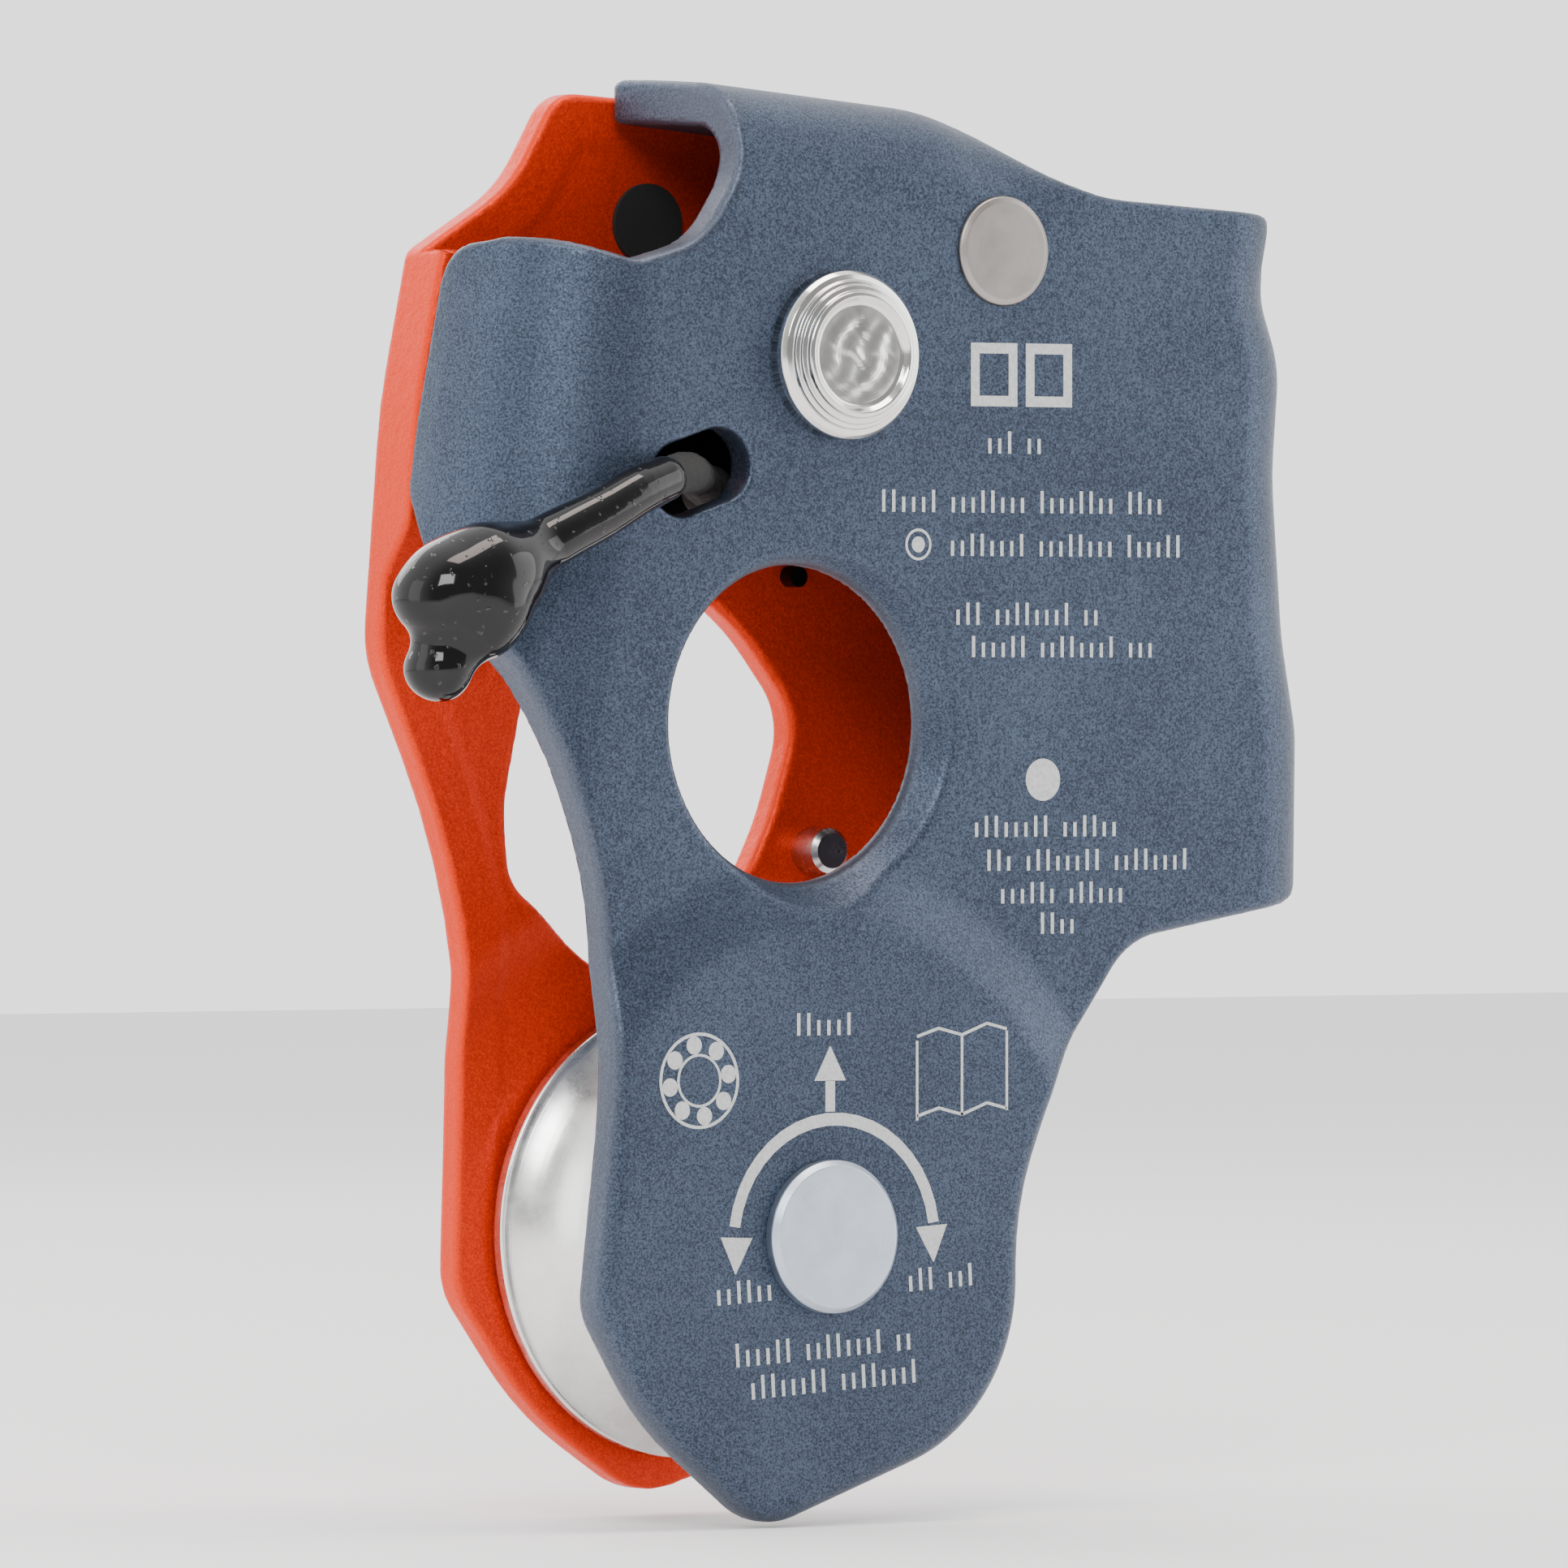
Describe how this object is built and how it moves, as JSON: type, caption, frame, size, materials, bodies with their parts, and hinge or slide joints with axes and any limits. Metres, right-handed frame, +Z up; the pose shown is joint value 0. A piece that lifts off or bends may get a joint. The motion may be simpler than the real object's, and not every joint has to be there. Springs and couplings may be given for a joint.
{
  "type": "rope pulley with rope clamp",
  "caption": "Rope pulley with a swinging rear cheek, ball-bearing sheave, round connector hole and a sprung toothed cam that clamps rope in a folded side channel, released by a cord.",
  "frame": {"origin": "centre of the connector hole, halfway through the front cheek's thickness", "axes": "+X right as seen from the front cheek, +Y to the back along the axles, +Z up, from the sheave to the folded top edge"},
  "size_m": [0.1103, 0.04, 0.1349],
  "materials": {
    "blue_anodised": "satin anodised",
    "orange_anodised": "satin anodised",
    "machined_alloy": "turned satin",
    "steel": "bright",
    "bearing_steel": "ground",
    "ball_steel": "polished",
    "pressed_brass": "pressed",
    "spring_steel": "dark spring steel",
    "sheave_alloy": "satin polished",
    "bronze": "plain bearing bronze",
    "dark_steel": "black oxide",
    "black_felt": "rough black",
    "rivet_alloy": "turned satin",
    "black_cord": "braided",
    "black_dip": "glossy dipped"
  },
  "bodies": {
    "front_frame": {"front_cheek": "blue_anodised", "cam_axle": "rivet_alloy", "cam_spring_cover": "dark_steel", "cam_thrust_washer": "bronze", "cam_spring_collar": "steel", "cam_spring": "spring_steel", "cam_stop_pin": "rivet_alloy", "sheave_axle": "machined_alloy", "axle_washer": "steel", "front_spacer": "machined_alloy", "rear_spacer": "machined_alloy", "bearing_inner_ring": "bearing_steel"},
    "sheave_body": {"sheave": "sheave_alloy", "bearing_outer_ring": "bearing_steel", "bearing_shields": "steel", "bearing_snap_ring": "spring_steel"},
    "ball_cage": {"bearing_balls": "ball_steel", "bearing_cage": "pressed_brass"},
    "rear_side": {"rear_cheek": "orange_anodised", "pivot_bush": "bronze", "stop_stud": "steel", "guide_peg": "dark_steel", "bumper_plug": "black_felt"},
    "cam_body": {"cam": "dark_steel", "cam_bush": "bronze", "cam_pull_pin": "steel"},
    "cord_body": {"pull_cord": "black_cord", "cord_knot": "black_cord", "cord_sleeve": "black_dip", "toggle": "black_dip"}
  },
  "joints": [
    {"name": "sheave_spin", "type": "hinge", "parent": "front_frame", "child": "sheave_body", "pos_m": [0.0018, 0.01065, -0.048], "axis": [0, 1, 0], "continuous": true},
    {"name": "cage_spin", "type": "hinge", "parent": "front_frame", "child": "ball_cage", "pos_m": [0.0018, 0.01065, -0.048], "axis": [0, 1, 0], "continuous": true},
    {"name": "rear_cheek_swing", "type": "hinge", "parent": "front_frame", "child": "rear_side", "pos_m": [0.0018, 0.0232, -0.048], "axis": [0, -1, 0], "range_deg": [0, 95]},
    {"name": "cam_grip", "type": "hinge", "parent": "front_frame", "child": "cam_body", "pos_m": [0.0045, 0.0085, 0.0346], "axis": [0, 1, 0], "range_deg": [0, 35], "stiffness_Nm_per_rad": 0.08, "springref_deg": -34.38},
    {"name": "cord_pull", "type": "slide", "parent": "front_frame", "child": "cord_body", "axis": [-0.6969, -0.6969, 0.169], "range_m": [0, 0.0031]}
  ],
  "couplings": [
    {"joint": "cage_spin", "follows": "sheave_spin", "ratio": 0.61},
    {"joint": "cord_pull", "follows": "cam_grip", "m_per_rad": 0.005}
  ]
}
